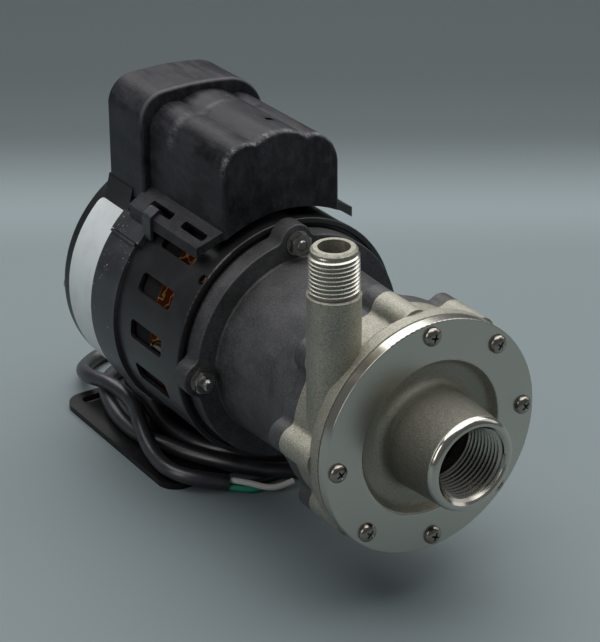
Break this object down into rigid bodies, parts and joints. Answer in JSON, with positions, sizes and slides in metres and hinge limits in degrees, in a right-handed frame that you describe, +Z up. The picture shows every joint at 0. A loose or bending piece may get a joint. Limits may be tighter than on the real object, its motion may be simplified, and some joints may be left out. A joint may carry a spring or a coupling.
{
  "type": "magnetic drive pump",
  "caption": "Stainless centrifugal pump with a threaded inlet and an upright threaded outlet, driven through a magnet coupling by a ventilated motor on a slotted foot.",
  "frame": {"origin": "on the floor, at the centre of the rectangle of the foot's four slots, right under the pump axis", "axes": "+Z up, along the outlet pipe; -Y along the pump axis out of the inlet; +X to the right as seen from behind the motor, facing the inlet's way"},
  "size_m": [0.1434, 0.2966, 0.1778],
  "materials": {
    "machined_steel": "turned stainless steel, satin to bright",
    "cast_steel": "bead-blasted stainless casting",
    "screw_steel": "bright stainless fastener",
    "zinc_steel": "zinc-plated steel fastener",
    "black_moulding": "black moulded plastic with a fine texture",
    "cover_moulding": "black moulded plastic, slightly glossy",
    "shell_paint": "semi-gloss black paint on drawn steel",
    "foot_paint": "satin black paint on steel",
    "strap_moulding": "black flexible plastic strap",
    "can_plastic": "dark reinforced plastic",
    "impeller_plastic": "dark filled plastic",
    "magnet_ferrite": "dark sintered magnet",
    "bushing_carbon": "carbon",
    "ceramic_white": "polished ceramic",
    "seal_rubber": "black elastomer",
    "hub_aluminium": "as cast",
    "insert_brass": "knurled brass",
    "lamination_steel": "varnished steel laminations",
    "winding_copper": "enamelled copper wire",
    "shaft_steel": "ground steel",
    "fan_plastic": "black plastic",
    "capacitor_case": "plain aluminium can",
    "cord_jacket": "black flexible jacket, slightly glossy",
    "conductor_cover": "coloured soft plastic"
  },
  "bodies": {
    "pump_and_motor": {"front_cover": "machined_steel", "cover_screws": "screw_steel", "cover_seal": "seal_rubber", "volute_housing": "cast_steel", "containment_can": "can_plastic", "can_seal": "seal_rubber", "impeller_spindle": "ceramic_white", "spindle_nose": "impeller_plastic", "thrust_washers": "ceramic_white", "motor_bracket": "black_moulding", "bracket_inserts": "insert_brass", "bracket_nuts": "zinc_steel", "nut_washers": "zinc_steel", "through_bolts": "zinc_steel", "motor_front_shell": "shell_paint", "motor_rear_shell": "shell_paint", "stator_core": "lamination_steel", "front_windings": "winding_copper", "rear_windings": "winding_copper", "front_bearing": "shaft_steel", "rear_bearing": "shaft_steel", "motor_band": "strap_moulding", "band_clips": "strap_moulding", "top_cover": "cover_moulding", "capacitor": "capacitor_case", "motor_foot": "foot_paint", "cord_strain_relief": "seal_rubber", "cord_lead": "cord_jacket", "cord_loops": "cord_jacket", "cord_tail": "cord_jacket", "cord_conductors": "conductor_cover"},
    "motor_rotor": {"motor_shaft": "shaft_steel", "rotor_core": "lamination_steel", "rotor_end_rings": "hub_aluminium", "cooling_fan": "fan_plastic", "drive_magnet_cup": "hub_aluminium", "drive_magnet_ring": "magnet_ferrite", "hub_set_screw": "zinc_steel"},
    "impeller_wheel": {"impeller": "impeller_plastic", "impeller_bushing": "bushing_carbon", "driven_magnet": "magnet_ferrite"}
  },
  "joints": [
    {"name": "rotor_spin", "type": "hinge", "parent": "pump_and_motor", "child": "motor_rotor", "pos_m": [0, 0, 0.075], "axis": [0, 1, 0], "continuous": true},
    {"name": "impeller_spin", "type": "hinge", "parent": "pump_and_motor", "child": "impeller_wheel", "pos_m": [0, -0.1535, 0.075], "axis": [0, 1, 0], "continuous": true}
  ],
  "couplings": [
    {"joint": "impeller_spin", "follows": "rotor_spin", "ratio": 1}
  ]
}
